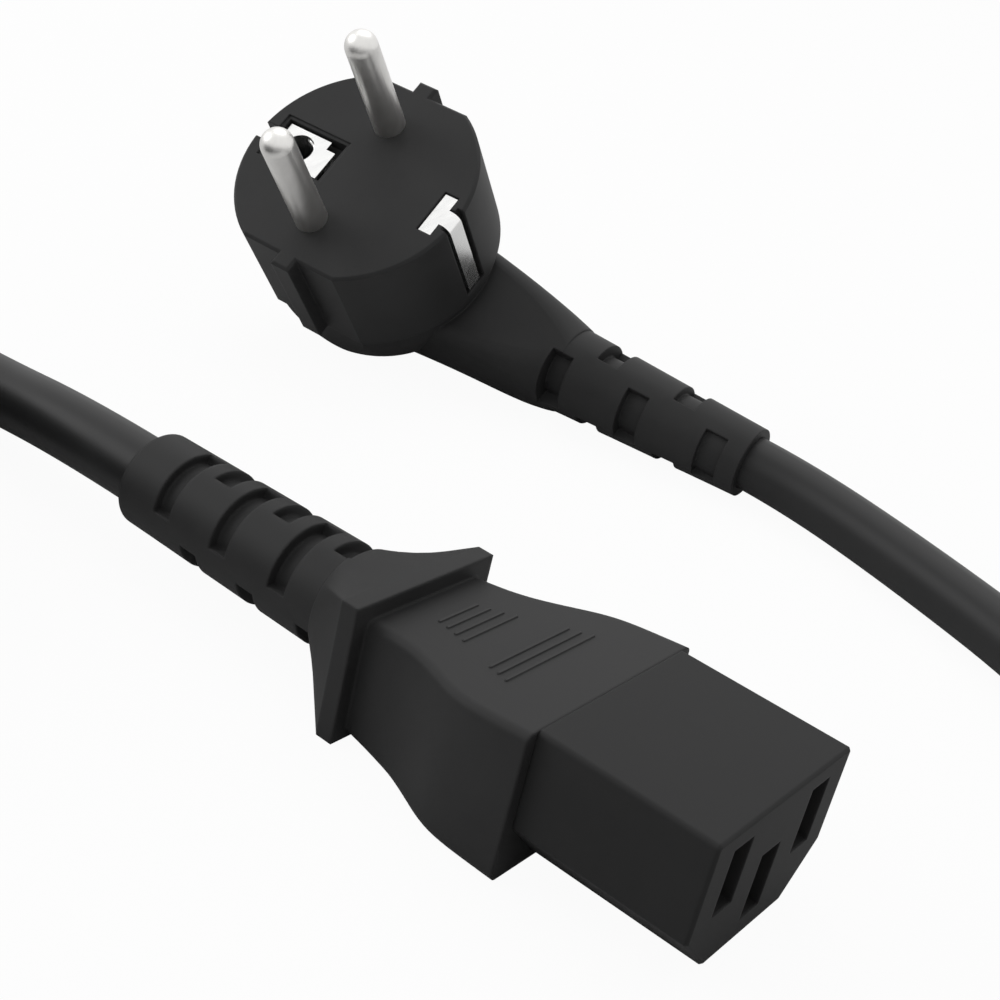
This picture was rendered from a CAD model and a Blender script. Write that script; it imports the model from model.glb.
from math import cos, pi, radians, sin

import bmesh
import bpy
from mathutils import Matrix, Vector


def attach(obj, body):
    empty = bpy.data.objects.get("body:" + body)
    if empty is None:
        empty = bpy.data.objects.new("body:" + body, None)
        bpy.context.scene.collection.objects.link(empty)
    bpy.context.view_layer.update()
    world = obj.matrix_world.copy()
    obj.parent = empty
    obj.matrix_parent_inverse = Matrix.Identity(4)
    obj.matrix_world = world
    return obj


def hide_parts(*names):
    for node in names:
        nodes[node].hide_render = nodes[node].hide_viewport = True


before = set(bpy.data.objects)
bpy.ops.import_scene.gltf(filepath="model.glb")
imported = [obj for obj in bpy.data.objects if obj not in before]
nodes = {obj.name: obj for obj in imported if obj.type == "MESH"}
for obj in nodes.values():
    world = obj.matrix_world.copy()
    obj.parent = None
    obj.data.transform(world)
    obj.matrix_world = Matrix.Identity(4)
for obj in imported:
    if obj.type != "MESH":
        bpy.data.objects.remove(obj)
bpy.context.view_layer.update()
print("frame loaded:", len(nodes), "nodes")

# Camera, fitted to both ends of the cord in the photo
view = {
    "place": (0.119393, -0.054711, 0.092403),
    "right": (0.25796, 0.94239, 0.21298),
    "down": (0.47487, 0.06831, -0.8774),
    "ahead": (-0.84141, 0.32748, -0.42989),
    "lens": 57.6,
    "sensor": 36,
    "nearest": 0.01,
    "farthest": 30,
}


def aimCamera(v):
    cameraData = bpy.data.cameras.new("photoCamera")
    cameraData.lens = v["lens"]
    cameraData.sensor_width = v["sensor"]
    cameraData.sensor_fit = "HORIZONTAL"
    cameraData.clip_start = v["nearest"]
    cameraData.clip_end = v["farthest"]
    camera = bpy.data.objects.new("photoCamera", cameraData)
    bpy.context.scene.collection.objects.link(camera)
    columns = Matrix((v["right"], [-c for c in v["down"]], [-c for c in v["ahead"]])).transposed()
    camera.location = v["place"]
    camera.rotation_euler = columns.to_euler()
    bpy.context.scene.camera = camera
    bpy.context.view_layer.update()


aimCamera(view)
print("camera aimed")

# The cord, from the connector's strain relief through the coil to the plug's strain relief
cordShape = {
    "diameter": 0.0082,
    "length": 1.8,
    "connectorRun": [
        (-0.04401, -0.031975, 0.0083), (-0.055336, -0.040204, 0.0083), (-0.073, -0.051, 0.0054),
        (-0.093, -0.065, 0.0041), (-0.1085, -0.091, 0.0041), (-0.1113, -0.121, 0.0041),
        (-0.0995, -0.1485, 0.0041), (-0.073, -0.1635, 0.0041),
    ],
    "coilCentre": (-0.0475, -0.107),
    "coilRadius": 0.0504,
    "coilStep": 30,  # degrees from one point of the coil to the next
    "climbStart": 0.66,  # share of the thickness gained in the climb's first step
    "climbSag": 0.0011,
    "plugRun": [
        (-0.0185, -0.1585, 0.0095), (0.006, -0.141, 0.0043), (0.024, -0.117, 0.0041), (0.036, -0.09, 0.0041),
        (0.043, -0.055, 0.0041), (0.0455, -0.02, 0.0041), (0.0465, 0.01, 0.0041), (0.0435, 0.038, 0.0041),
        (0.0292, 0.062, 0.0041), (0.007, 0.0745, 0.0041), (-0.018, 0.0745, 0.0041), (-0.042, 0.0685, 0.0041),
        (-0.062, 0.0603, 0.0048), (-0.068454, 0.054844, 0.005388),
    ],
    "roundness": 8,
    "smoothness": 10,
}


# Four turns: an outer and an inner one on the table, then an inner and an outer one on top of them.
# Each station is an angle, a radius and a height.
def coilTurns(c):
    d = c["diameter"]
    outer, inner = c["coilRadius"], c["coilRadius"] - d
    low, high = d / 2, d * 1.5
    stations = [
        (0, outer + d / 2, low), (60, outer, low), (330, outer, low), (360, outer - d / 2, low),
        (420, inner, low), (660, inner, low),
        (690, inner, low + d * c["climbStart"]), (720, inner, high - c["climbSag"]),
        (750, inner, high), (960, inner, high), (1050, outer, high), (1320, outer, high),
        (1410, outer + d, high), (1440, outer + d, high),
    ]
    turns = []
    for angle in range(0, stations[-1][0] + 1, c["coilStep"]):
        for (a0, r0, z0), (a1, r1, z1) in zip(stations, stations[1:]):
            if a0 <= angle <= a1:
                share = (angle - a0) / (a1 - a0)
                radius, height = r0 + share * (r1 - r0), z0 + share * (z1 - z0)
        heading = radians(angle - 90)
        turns.append((
            c["coilCentre"][0] + radius * cos(heading),
            c["coilCentre"][1] + radius * sin(heading),
            height,
        ))
    return turns


def layCord(c):
    points = c["connectorRun"] + coilTurns(c) + c["plugRun"]
    line = bpy.data.curves.new("powerCord", "CURVE")
    line.dimensions = "3D"
    line.bevel_depth = 1  # each point's radius sets the thickness
    line.bevel_resolution = c["roundness"]
    line.resolution_u = c["smoothness"]
    line.use_fill_caps = True
    spline = line.splines.new("NURBS")
    spline.points.add(len(points) - 1)
    for point, place in zip(spline.points, points):
        point.co = (*place, 1)
        point.radius = c["diameter"] / 2
    spline.order_u = 3
    spline.use_endpoint_u = True
    cord = bpy.data.objects.new("powerCord", line)
    bpy.context.scene.collection.objects.link(cord)
    return cord


powerCord = layCord(cordShape)
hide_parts("cord_to_plug", "cord_coil", "cord_to_connector")
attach(powerCord, "root")
print("cord laid")

# Axes of the two ends, as the frame has them
plugAxes = {
    "origin": (-0.1041, -0.00234, 0.029871),
    "x": (0.7463936, 0.6626792, -0.0612605),
    "z": (0.4863003, -0.4802511, 0.7299801),
}
connectorAxes = {"origin": (0, 0, 0), "x": (0.809017, 0.5877853, 0), "z": (0, 0, 1)}


def axesMatrix(a):
    along, up = Vector(a["x"]), Vector(a["z"])
    turn = Matrix((along, up.cross(along), up)).transposed().to_4x4()
    return Matrix.Translation(a["origin"]) @ turn


def addPiece(name, work, place=Matrix(), smooth=True):
    bmesh.ops.recalc_face_normals(work, faces=work.faces)
    bmesh.ops.transform(work, matrix=place, verts=work.verts)
    mesh = bpy.data.meshes.new(name)
    work.to_mesh(mesh)
    work.free()
    for face in mesh.polygons:
        face.use_smooth = smooth
    piece = bpy.data.objects.new(name, mesh)
    bpy.context.scene.collection.objects.link(piece)
    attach(piece, "root")
    return piece


# Rings of points joined into one skin, closed by flat ends unless the rings run round in a loop
def skinRings(work, rings, loop=False):
    skin = [[work.verts.new(point) for point in ring] for ring in rings]
    pairs = list(zip(skin, skin[1:])) + ([(skin[-1], skin[0])] if loop else [])
    for first, second in pairs:
        for i in range(len(first)):
            j = (i + 1) % len(first)
            work.faces.new((first[i], first[j], second[j], second[i]))
    if not loop:
        work.faces.new(skin[0])
        work.faces.new(skin[-1])


# Fine raised lines on top of the connector: distance from the resting point, length
gripLines = {
    "rows": [
        (-0.0107, 0.0061), (-0.00937, 0.0068), (-0.00803, 0.0077), (-0.0067, 0.0086),
        (-0.00185, 0.0128), (-0.0006, 0.0135), (0.00065, 0.0145),
    ],
    "width": 0.00044,
    "flat": 0.6,
    "height": 0.00016,
    "topAtNose": 0.0162,
    "noseBack": 0.008,
    "slope": 2.5 / 23,
    # Share of the length, share of the full section
    "ends": ((-0.5, 0.2), (-0.49, 0.8), (-0.48, 1), (0.48, 1), (0.49, 0.8), (0.5, 0.2)),
}


def raiseLines(g):
    work = bmesh.new()
    for x, length in g["rows"]:
        surface = g["topAtNose"] - (g["noseBack"] - x) * g["slope"]
        rings = []
        for share, swell in g["ends"]:
            foot, brow = g["width"] / 2 * swell, g["width"] / 2 * swell * g["flat"]
            rings.append([
                (x + across, share * length, surface + rise)
                for across, rise in (
                    (-foot, -g["height"]), (-foot, 0), (-brow, g["height"] * swell),
                    (brow, g["height"] * swell), (foot, 0), (foot, -g["height"]),
                )
            ])
        skinRings(work, rings)
    return addPiece("gripLines", work, axesMatrix(connectorAxes), smooth=False)


gripLineRidges = raiseLines(gripLines)

# Two sprung leaves in the earth socket, bowed a little into its bore
earthLeaves = {
    "holeX": -0.0104,
    "top": -0.0013,
    "length": 0.0085,
    "radius": 0.0024,
    "thick": 0.00022,
    "bow": 0.0005,
    "spread": 62,
    "facing": (30, 210),
    "levels": 10,
    "steps": 8,
}


def bendLeaves(e):
    work = bmesh.new()
    for middle in e["facing"]:
        rings = []
        for level in range(e["levels"] + 1):
            share = level / e["levels"]
            radius = e["radius"] - e["bow"] * sin(pi * share)
            ring = []
            for inset, order in ((0, 1), (e["thick"], -1)):
                for step in range(e["steps"] + 1)[::order]:
                    angle = radians(middle - e["spread"] + 2 * e["spread"] * step / e["steps"])
                    ring.append((
                        e["holeX"] + (radius - inset) * cos(angle), (radius - inset) * sin(angle),
                        e["top"] - share * e["length"],
                    ))
            rings.append(ring)
        skinRings(work, rings)
    return addPiece("earthLeaves", work, axesMatrix(plugAxes))


socketLeaves = bendLeaves(earthLeaves)

# Tie round the coil's four turns, with its end tucked through a flat keeper
coilTie = {
    "angle": 15,
    "width": 0.007,
    "thick": 0.0006,
    "slack": 0.0001,
    "corner": 0.0042,
    "keeperWidth": 0.0095,
    "keeperThick": 0.0016,
    "keeperHeight": 0.006,
    "keeperEdge": 0.0005,
    "tailLean": 0.0035,
    "tailRise": 0.0045,
    "tailTuck": 0.001,
    "tailWidth": 0.82,
    "tipStart": 0.9,
    "tipTaper": 3,
    "cornerSteps": 8,
    "tailSteps": 12,
}


def wrapTie(t, c):
    d = c["diameter"]
    inner, outer = c["coilRadius"] - 1.5 * d - t["slack"], c["coilRadius"] + d / 2 + t["slack"]
    low, high = t["thick"], 2 * d + t["slack"]
    loop = []
    for x, z, start in ((outer, high, 0), (inner, high, 90), (inner, low, 180), (outer, low, 270)):
        x += -t["corner"] if x == outer else t["corner"]
        z += -t["corner"] if z == high else t["corner"]
        for step in range(t["cornerSteps"] + 1):
            turn = radians(start + 90 * step / t["cornerSteps"])
            loop.append((x, z, cos(turn), sin(turn)))
    work = bmesh.new()
    half, thick = t["width"] / 2, t["thick"]
    rings = [
        [
            (x + t["corner"] * dx, -half, z + t["corner"] * dz),
            (x + t["corner"] * dx, half, z + t["corner"] * dz),
            (x + (t["corner"] + thick) * dx, half, z + (t["corner"] + thick) * dz),
            (x + (t["corner"] + thick) * dx, -half, z + (t["corner"] + thick) * dz),
        ]
        for x, z, dx, dz in loop
    ]
    skinRings(work, rings, loop=True)
    keeper = bmesh.ops.create_cube(work, size=1)["verts"]
    bmesh.ops.scale(work, vec=(t["keeperThick"], t["keeperWidth"], t["keeperHeight"]), verts=keeper)
    bmesh.ops.translate(work, vec=(outer + t["thick"] + t["keeperThick"] / 2, 0, d), verts=keeper)
    edges = [edge for edge in work.edges if edge.verts[0] in keeper]
    bmesh.ops.bevel(work, geom=edges, offset=t["keeperEdge"], segments=3, affect="EDGES", profile=0.5)
    tail = []
    for step in range(t["tailSteps"] + 1):
        share = step / t["tailSteps"]
        reach = outer + t["thick"] + t["keeperThick"] * 0.6 + t["tailLean"] * share * share
        level = d + t["keeperHeight"] / 2 - t["tailTuck"] + t["tailRise"] * share
        narrow = t["tipTaper"] * (share - t["tipStart"]) if share >= t["tipStart"] else 0
        wide = half * (t["tailWidth"] - narrow)
        tail.append([
            (reach, -wide, level), (reach, wide, level),
            (reach + thick, wide, level), (reach + thick, -wide, level),
        ])
    skinRings(work, tail)
    heading = radians(t["angle"])
    place = Matrix.Translation((*c["coilCentre"], 0)) @ Matrix.Rotation(heading, 4, "Z")
    return addPiece("coilTie", work, place, smooth=False)


tieBand = wrapTie(coilTie, cordShape)
print("details added")


# Materials
def startMaterial(name):
    material = bpy.data.materials.new(name)
    material.use_nodes = True
    tree = material.node_tree
    return material, tree, tree.nodes["Principled BSDF"]


def addNoise(tree, size, detail, coordinates):
    noise = tree.nodes.new("ShaderNodeTexNoise")
    noise.inputs["Scale"].default_value = 1 / size
    noise.inputs["Detail"].default_value = detail
    tree.links.new(coordinates.outputs["Object"], noise.inputs["Vector"])
    return noise


def addRamp(tree, source, low, high, colours):
    ramp = tree.nodes.new("ShaderNodeValToRGB")
    ramp.color_ramp.elements[0].position = low
    ramp.color_ramp.elements[1].position = high
    ramp.color_ramp.elements[0].color = (*colours[0], 1)
    ramp.color_ramp.elements[1].color = (*colours[1], 1)
    tree.links.new(source, ramp.inputs["Fac"])
    return ramp


def addRange(tree, source, low, high):
    spread = tree.nodes.new("ShaderNodeMapRange")
    spread.inputs["To Min"].default_value = low
    spread.inputs["To Max"].default_value = high
    tree.links.new(source, spread.inputs["Value"])
    return spread


# What all plastics share, and then each one's own colour, gloss, grain and soft edge
plasticLook = {"cloudDetail": 3, "cloudFrom": 0.35, "cloudTo": 0.65, "grainDetail": 2, "bump": 0.35, "edgeSamples": 6}
plastics = {
    "mouldedPvc": {"dark": (0.0185, 0.0185, 0.0187), "pale": (0.0225, 0.0225, 0.0227), "rough": (0.5, 0.6),
                   "grain": 0.00022, "grainDepth": 0.00001, "cloud": 0.006, "edge": 0.00035, "gloss": 0.24},
    "connectorPvc": {"dark": (0.022, 0.022, 0.0222), "pale": (0.026, 0.026, 0.0262), "rough": (0.52, 0.62),
                     "grain": 0.00022, "grainDepth": 0.00001, "cloud": 0.006, "edge": 0.00055, "gloss": 0.22},
    "gripPvc": {"dark": (0.024, 0.024, 0.0242), "pale": (0.029, 0.029, 0.0292), "rough": (0.5, 0.58),
                "grain": 0.00022, "grainDepth": 0.000006, "cloud": 0.006, "edge": 0, "gloss": 0.24},
    "nosePlastic": {"dark": (0.0215, 0.0215, 0.0217), "pale": (0.025, 0.025, 0.0252), "rough": (0.54, 0.64),
                    "grain": 0.0002, "grainDepth": 0.000008, "cloud": 0.008, "edge": 0.00035, "gloss": 0.17},
    "cordSheath": {"dark": (0.0175, 0.0175, 0.0178), "pale": (0.0205, 0.0205, 0.0207), "rough": (0.4, 0.5),
                   "grain": 0.0005, "grainDepth": 0.0000025, "cloud": 0.01, "edge": 0, "gloss": 0.26},
    "tieNylon": {"dark": (0.02, 0.02, 0.021), "pale": (0.03, 0.03, 0.031), "rough": (0.42, 0.52),
                 "grain": 0.0005, "grainDepth": 0.00001, "cloud": 0.004, "edge": 0.00015, "gloss": 0.35},
    "bridgePlastic": {"dark": (0.03, 0.03, 0.03), "pale": (0.04, 0.04, 0.04), "rough": (0.45, 0.55),
                      "grain": 0.0003, "grainDepth": 0.000008, "cloud": 0.005, "edge": 0.0002, "gloss": 0.4},
    "brownCore": {"dark": (0.16, 0.07, 0.03), "pale": (0.2, 0.09, 0.04), "rough": (0.35, 0.45),
                  "grain": 0.0003, "grainDepth": 0.000005, "cloud": 0.004, "edge": 0, "gloss": 0.4},
    "blueCore": {"dark": (0.03, 0.1, 0.34), "pale": (0.04, 0.12, 0.4), "rough": (0.35, 0.45),
                 "grain": 0.0003, "grainDepth": 0.000005, "cloud": 0.004, "edge": 0, "gloss": 0.4},
}


def mixPlastic(name, p, look):
    material, tree, surface = startMaterial(name)
    coordinates = tree.nodes.new("ShaderNodeTexCoord")
    cloud = addNoise(tree, p["cloud"], look["cloudDetail"], coordinates)
    colour = addRamp(tree, cloud.outputs["Fac"], look["cloudFrom"], look["cloudTo"], (p["dark"], p["pale"]))
    tree.links.new(colour.outputs["Color"], surface.inputs["Base Color"])
    rough = addRange(tree, cloud.outputs["Fac"], *p["rough"])
    tree.links.new(rough.outputs["Result"], surface.inputs["Roughness"])
    surface.inputs["Specular IOR Level"].default_value = p["gloss"]
    grain = addNoise(tree, p["grain"], look["grainDetail"], coordinates)
    bump = tree.nodes.new("ShaderNodeBump")
    bump.inputs["Strength"].default_value = look["bump"]
    bump.inputs["Distance"].default_value = p["grainDepth"]
    tree.links.new(grain.outputs["Fac"], bump.inputs["Height"])
    if p["edge"]:
        rounding = tree.nodes.new("ShaderNodeBevel")
        rounding.samples = look["edgeSamples"]
        rounding.inputs["Radius"].default_value = p["edge"]
        tree.links.new(rounding.outputs["Normal"], bump.inputs["Normal"])
    tree.links.new(bump.outputs["Normal"], surface.inputs["Normal"])
    return material


# Metals: nickel on the pins and strip, plain brass on the connector's contacts
metalLook = {"streakDetail": 3, "toneFrom": 0.3, "toneTo": 0.7, "dullest": 0.93, "bump": 0.4}
metals = {
    "nickelPin": {"colour": (0.78, 0.77, 0.75), "rough": (0.33, 0.4),
                  "streak": (0.0012, 0.0012, 0.006), "depth": 0.0000005},
    "nickelStrip": {"colour": (0.9, 0.9, 0.89), "rough": (0.2, 0.28),
                    "streak": (0.0006, 0.003, 0.003), "depth": 0.000001},
    "brassContact": {"colour": (0.7, 0.53, 0.27), "rough": (0.25, 0.38),
                     "streak": (0.002, 0.0003, 0.0003), "depth": 0.000004},
}


def plateMetal(name, m, look):
    material, tree, surface = startMaterial(name)
    coordinates = tree.nodes.new("ShaderNodeTexCoord")
    stretch = tree.nodes.new("ShaderNodeMapping")
    stretch.inputs["Scale"].default_value = [1 / size for size in m["streak"]]
    tree.links.new(coordinates.outputs["Object"], stretch.inputs["Vector"])
    streak = tree.nodes.new("ShaderNodeTexNoise")
    streak.inputs["Scale"].default_value = 1
    streak.inputs["Detail"].default_value = look["streakDetail"]
    tree.links.new(stretch.outputs["Vector"], streak.inputs["Vector"])
    rough = addRange(tree, streak.outputs["Fac"], *m["rough"])
    tree.links.new(rough.outputs["Result"], surface.inputs["Roughness"])
    dull = [share * look["dullest"] for share in m["colour"]]
    tone = addRamp(tree, streak.outputs["Fac"], look["toneFrom"], look["toneTo"], (dull, m["colour"]))
    tree.links.new(tone.outputs["Color"], surface.inputs["Base Color"])
    surface.inputs["Metallic"].default_value = 1
    bump = tree.nodes.new("ShaderNodeBump")
    bump.inputs["Strength"].default_value = look["bump"]
    bump.inputs["Distance"].default_value = m["depth"]
    tree.links.new(streak.outputs["Fac"], bump.inputs["Height"])
    tree.links.new(bump.outputs["Normal"], surface.inputs["Normal"])
    return material


# Earth core: green sheath with yellow bands
earthCoreBands = {
    "green": (0.03, 0.22, 0.04),
    "yellow": (0.75, 0.6, 0.04),
    "band": 0.004,
    "wavesInBand": 0.32,
    "bandFrom": 0.48,
    "bandTo": 0.52,
    "rough": 0.4,
}


def bandEarthCore(name, e):
    material, tree, surface = startMaterial(name)
    coordinates = tree.nodes.new("ShaderNodeTexCoord")
    wave = tree.nodes.new("ShaderNodeTexWave")
    wave.bands_direction = "Y"
    wave.inputs["Scale"].default_value = e["wavesInBand"] / e["band"]
    wave.inputs["Distortion"].default_value = 0
    tree.links.new(coordinates.outputs["Object"], wave.inputs["Vector"])
    bands = addRamp(tree, wave.outputs["Fac"], e["bandFrom"], e["bandTo"], (e["green"], e["yellow"]))
    tree.links.new(bands.outputs["Color"], surface.inputs["Base Color"])
    surface.inputs["Roughness"].default_value = e["rough"]
    return material


finishes = {name: mixPlastic(name, values, plasticLook) for name, values in plastics.items()}
finishes.update({name: plateMetal(name, values, metalLook) for name, values in metals.items()})
finishes["earthCore"] = bandEarthCore("earthCore", earthCoreBands)


def giveFinish(piece, name):
    piece.data.materials.clear()
    piece.data.materials.append(finishes[name])


nodeFinishes = {
    "plug_moulding": "mouldedPvc", "connector_body": "connectorPvc", "connector_insert": "nosePlastic",
    "plug_bridge": "bridgePlastic", "pin_line": "nickelPin", "pin_neutral": "nickelPin",
    "earth_strap": "nickelStrip", "earth_socket": "nickelStrip", "contact_line": "brassContact",
    "contact_neutral": "brassContact", "contact_earth": "brassContact", "plug_cable_end": "cordSheath",
    "connector_cable_end": "cordSheath", "plug_core_line": "brownCore", "plug_core_neutral": "blueCore",
    "plug_core_earth": "earthCore", "connector_core_line": "brownCore", "connector_core_neutral": "blueCore",
    "connector_core_earth": "earthCore",
}
for nodeName, finishName in nodeFinishes.items():
    giveFinish(nodes[nodeName], finishName)
giveFinish(powerCord, "cordSheath")
giveFinish(gripLineRidges, "gripPvc")
giveFinish(socketLeaves, "nickelStrip")
giveFinish(tieBand, "tieNylon")
print("materials set:", len(finishes))

# Floor and light
studio = {
    "floorSize": 6,
    "floorWhite": 0.9,
    "floorRough": 0.9,
    "floorGlow": 0.95,
    "worldFill": 0.45,
    "lampAim": (-0.04, 0.02, 0),
    "keyPower": 3.4,
    "keySize": 1.2,
    "keyPlace": (-0.5, 0.15, 1.1),
    "sidePower": 2.1,
    "sideSize": 0.6,
    "sidePlace": (-0.35, -0.8, 0.5),
}


def layFloor(s):
    mesh = bpy.data.meshes.new("studioFloor")
    work = bmesh.new()
    bmesh.ops.create_grid(work, x_segments=1, y_segments=1, size=s["floorSize"] / 2)
    work.to_mesh(mesh)
    work.free()
    floor = bpy.data.objects.new("studioFloor", mesh)
    bpy.context.scene.collection.objects.link(floor)
    material, tree, surface = startMaterial("paleFloor")
    surface.inputs["Base Color"].default_value = (s["floorWhite"],) * 3 + (1,)
    surface.inputs["Roughness"].default_value = s["floorRough"]
    surface.inputs["Specular IOR Level"].default_value = 0
    glow = tree.nodes.new("ShaderNodeEmission")
    mixed = tree.nodes.new("ShaderNodeMixShader")
    rays = tree.nodes.new("ShaderNodeLightPath")
    share = tree.nodes.new("ShaderNodeMath")
    share.operation = "MULTIPLY"
    share.inputs[1].default_value = s["floorGlow"]
    tree.links.new(rays.outputs["Is Camera Ray"], share.inputs[0])
    tree.links.new(share.outputs["Value"], mixed.inputs["Fac"])
    tree.links.new(surface.outputs["BSDF"], mixed.inputs[1])
    tree.links.new(glow.outputs["Emission"], mixed.inputs[2])
    tree.links.new(mixed.outputs["Shader"], tree.nodes["Material Output"].inputs["Surface"])
    mesh.materials.append(material)


def hangLamp(name, power, size, place, aim):
    lamp = bpy.data.lights.new(name, "AREA")
    lamp.energy = power
    lamp.shape = "DISK"
    lamp.size = size
    holder = bpy.data.objects.new(name, lamp)
    holder.location = place
    holder.rotation_euler = (Vector(aim) - Vector(place)).to_track_quat("-Z", "Y").to_euler()
    bpy.context.scene.collection.objects.link(holder)


def lightWorld(s):
    world = bpy.data.worlds.new("studioWorld")
    bpy.context.scene.world = world
    world.use_nodes = True
    tree = world.node_tree
    fill = tree.nodes["Background"]
    fill.inputs["Strength"].default_value = s["worldFill"]
    fill.inputs["Color"].default_value = (1, 1, 1, 1)
    white = tree.nodes.new("ShaderNodeBackground")
    white.inputs["Color"].default_value = (1, 1, 1, 1)
    rays = tree.nodes.new("ShaderNodeLightPath")
    seen = tree.nodes.new("ShaderNodeMath")
    seen.operation = "MAXIMUM"
    mirrored = tree.nodes.new("ShaderNodeMath")
    mirrored.operation = "MAXIMUM"
    mixed = tree.nodes.new("ShaderNodeMixShader")
    tree.links.new(rays.outputs["Is Glossy Ray"], mirrored.inputs[0])
    tree.links.new(rays.outputs["Is Transmission Ray"], mirrored.inputs[1])
    tree.links.new(rays.outputs["Is Camera Ray"], seen.inputs[0])
    tree.links.new(mirrored.outputs["Value"], seen.inputs[1])
    tree.links.new(seen.outputs["Value"], mixed.inputs["Fac"])
    tree.links.new(fill.outputs["Background"], mixed.inputs[1])
    tree.links.new(white.outputs["Background"], mixed.inputs[2])
    tree.links.new(mixed.outputs["Shader"], tree.nodes["World Output"].inputs["Surface"])


layFloor(studio)
hangLamp("keyLamp", studio["keyPower"], studio["keySize"], studio["keyPlace"], studio["lampAim"])
hangLamp("sideLamp", studio["sidePower"], studio["sideSize"], studio["sidePlace"], studio["lampAim"])
lightWorld(studio)
bpy.context.scene.view_settings.view_transform = "Standard"
print("studio lit")

bpy.context.view_layer.update()
